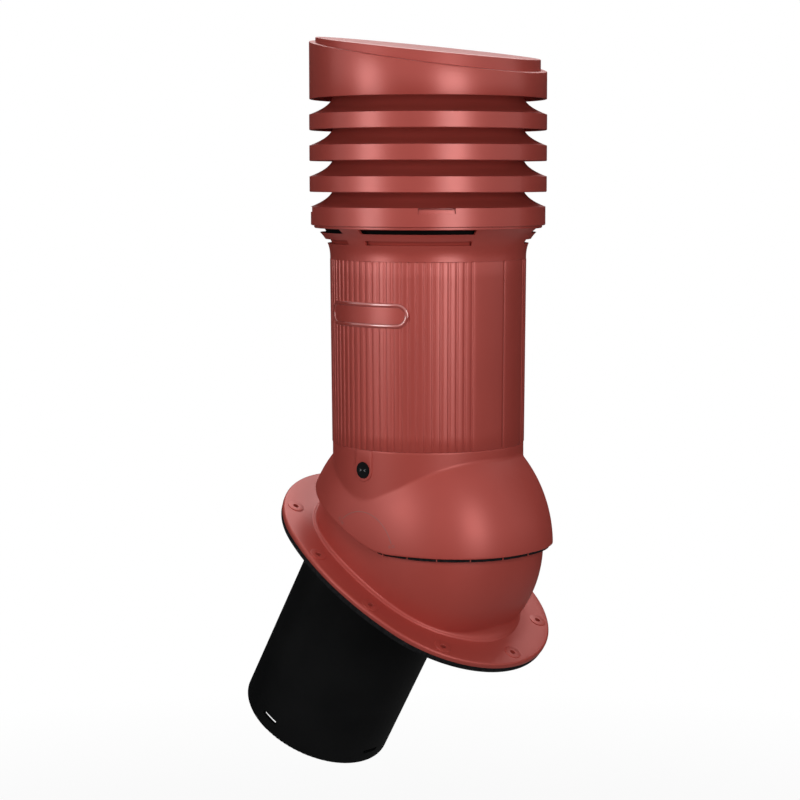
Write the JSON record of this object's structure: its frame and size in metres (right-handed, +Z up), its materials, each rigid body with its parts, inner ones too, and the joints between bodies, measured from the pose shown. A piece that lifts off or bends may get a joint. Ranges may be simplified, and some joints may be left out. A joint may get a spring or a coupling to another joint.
{
  "type": "roof vent pipe",
  "caption": "Insulated roof vent pipe for a pitched roof: flanged base with a ball foot, tilting dome, ribbed tube, slotted collar and louvred cap, over a lower duct.",
  "frame": {"origin": "where the axis of the lower duct crosses the roof surface, which is the underside of the gasket", "axes": "+Z up the tube, which stands upright on a roof pitched at 30 degrees; +X horizontally down the roof; the pivot axis of the dome along Y"},
  "size_m": [0.3356, 0.2282, 0.7108],
  "materials": {
    "brick_plastic": "satin moulded",
    "black_plastic": "smooth, soft sheen",
    "foam_rubber": "closed-cell foam",
    "black_rubber": "matt",
    "stainless": "brushed",
    "galvanised": "galvanised sheet",
    "mineral_wool": "fibrous"
  },
  "bodies": {
    "base": {"roof_flange": "brick_plastic", "roof_gasket": "foam_rubber", "lower_duct": "black_plastic", "pivot_bushes": "black_plastic", "flex_hose": "black_rubber", "lower_clamp": "stainless"},
    "riser": {"upper_clamp": "stainless", "pitch_dome": "brick_plastic", "pivot_pins": "stainless", "friction_washers": "black_rubber", "spring_cups": "brick_plastic", "outer_tube": "brick_plastic", "badge_plate": "brick_plastic", "lower_support_ring": "galvanised", "inner_duct": "galvanised", "insulation_sleeve": "mineral_wool", "upper_support_ring": "galvanised", "slotted_collar": "brick_plastic", "latch_tabs": "brick_plastic", "button_spring_front": "stainless", "button_spring_rear": "stainless"},
    "front_button": {"button_front": "black_plastic"},
    "rear_button": {"button_rear": "black_plastic"},
    "cap": {"collar_ring": "brick_plastic", "louvre_ring_low": "brick_plastic", "louvre_ring_mid": "brick_plastic", "louvre_ring_top": "brick_plastic", "tie_rods": "stainless", "spacer_sleeves": "galvanised", "cap_cover": "brick_plastic"}
  },
  "joints": [
    {"name": "pitch_tilt", "type": "hinge", "parent": "base", "child": "riser", "pos_m": [0.04623, 0, 0.02007], "axis": [0, 1, 0], "range_deg": [-10, 8], "deforming": ["flex_hose"]},
    {"name": "front_button_push", "type": "slide", "parent": "riser", "child": "front_button", "axis": [0, 1, 0], "range_m": [0, 0.0025], "stiffness_N_per_m": 900, "springref_m": -0.002, "deforming": ["button_spring_front"]},
    {"name": "rear_button_push", "type": "slide", "parent": "riser", "child": "rear_button", "axis": [0, -1, 0], "range_m": [0, 0.0025], "stiffness_N_per_m": 900, "springref_m": -0.002, "deforming": ["button_spring_rear"]},
    {"name": "cap_lift", "type": "slide", "parent": "riser", "child": "cap", "axis": [0, 0, 1], "range_m": [0, 0.04]}
  ]
}
